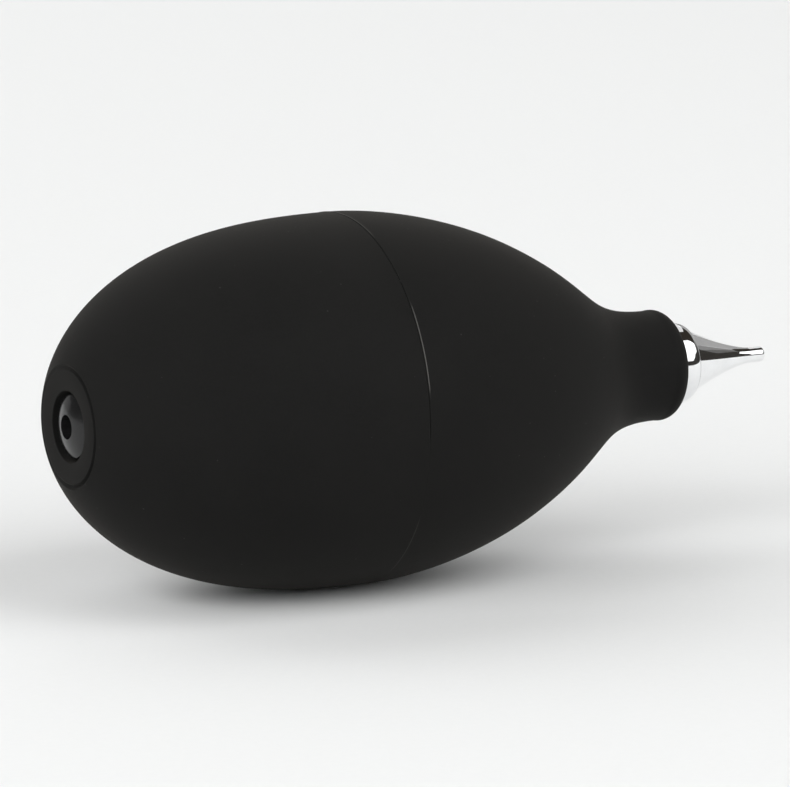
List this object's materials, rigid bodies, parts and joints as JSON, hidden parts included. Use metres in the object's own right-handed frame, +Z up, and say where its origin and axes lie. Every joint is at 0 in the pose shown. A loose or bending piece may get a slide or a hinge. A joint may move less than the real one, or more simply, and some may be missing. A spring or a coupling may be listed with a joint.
{
  "type": "dust blower bulb",
  "caption": "Hand-squeezed rubber dust blower: egg-shaped bulb with a one-way inlet valve at the back and a screw-in trumpet nozzle at the front.",
  "frame": {"origin": "centre of the underside of the box around the whole blower, lying on its side on its widest circle", "axes": "+X along the blower's axis towards the nozzle tip, +Z up, +Y to the left when looking along +X; the axis is 25 mm above the origin"},
  "size_m": [0.1071, 0.05, 0.05],
  "materials": {
    "bulb_rubber": "matte",
    "valve_plastic": "satin",
    "disc_silicone": "satin",
    "cage_plastic": "satin",
    "plated_metal": "polished",
    "ring_rubber": "satin"
  },
  "bodies": {
    "bulb": {"bulb_rear_half": "bulb_rubber", "bulb_front_half": "bulb_rubber", "nozzle_ferrule": "plated_metal"},
    "valve": {"valve_body": "valve_plastic", "valve_cage": "cage_plastic"},
    "disc": {"valve_disc": "disc_silicone"},
    "o_ring": {"nozzle_o_ring": "ring_rubber"},
    "jet": {"nozzle_jet": "plated_metal"}
  },
  "joints": [
    {"name": "squeeze", "type": "slide", "parent": "bulb", "child": "valve", "axis": [1, 0, 0], "range_m": [0, 0.012], "stiffness_N_per_m": 1500, "deforming": ["bulb_rear_half"]},
    {"name": "disc_lift", "type": "slide", "parent": "valve", "child": "disc", "axis": [1, 0, 0], "range_m": [0, 0.001]},
    {"name": "jet_out", "type": "slide", "parent": "bulb", "child": "o_ring", "axis": [1, 0, 0], "range_m": [0, 0.004]},
    {"name": "jet_turn", "type": "hinge", "parent": "o_ring", "child": "jet", "pos_m": [0, 0, 0.025], "axis": [1, 0, 0], "range_deg": [0, 1440.5]}
  ],
  "couplings": [
    {"joint": "jet_turn", "follows": "jet_out", "rad_per_m": 6283.2}
  ]
}
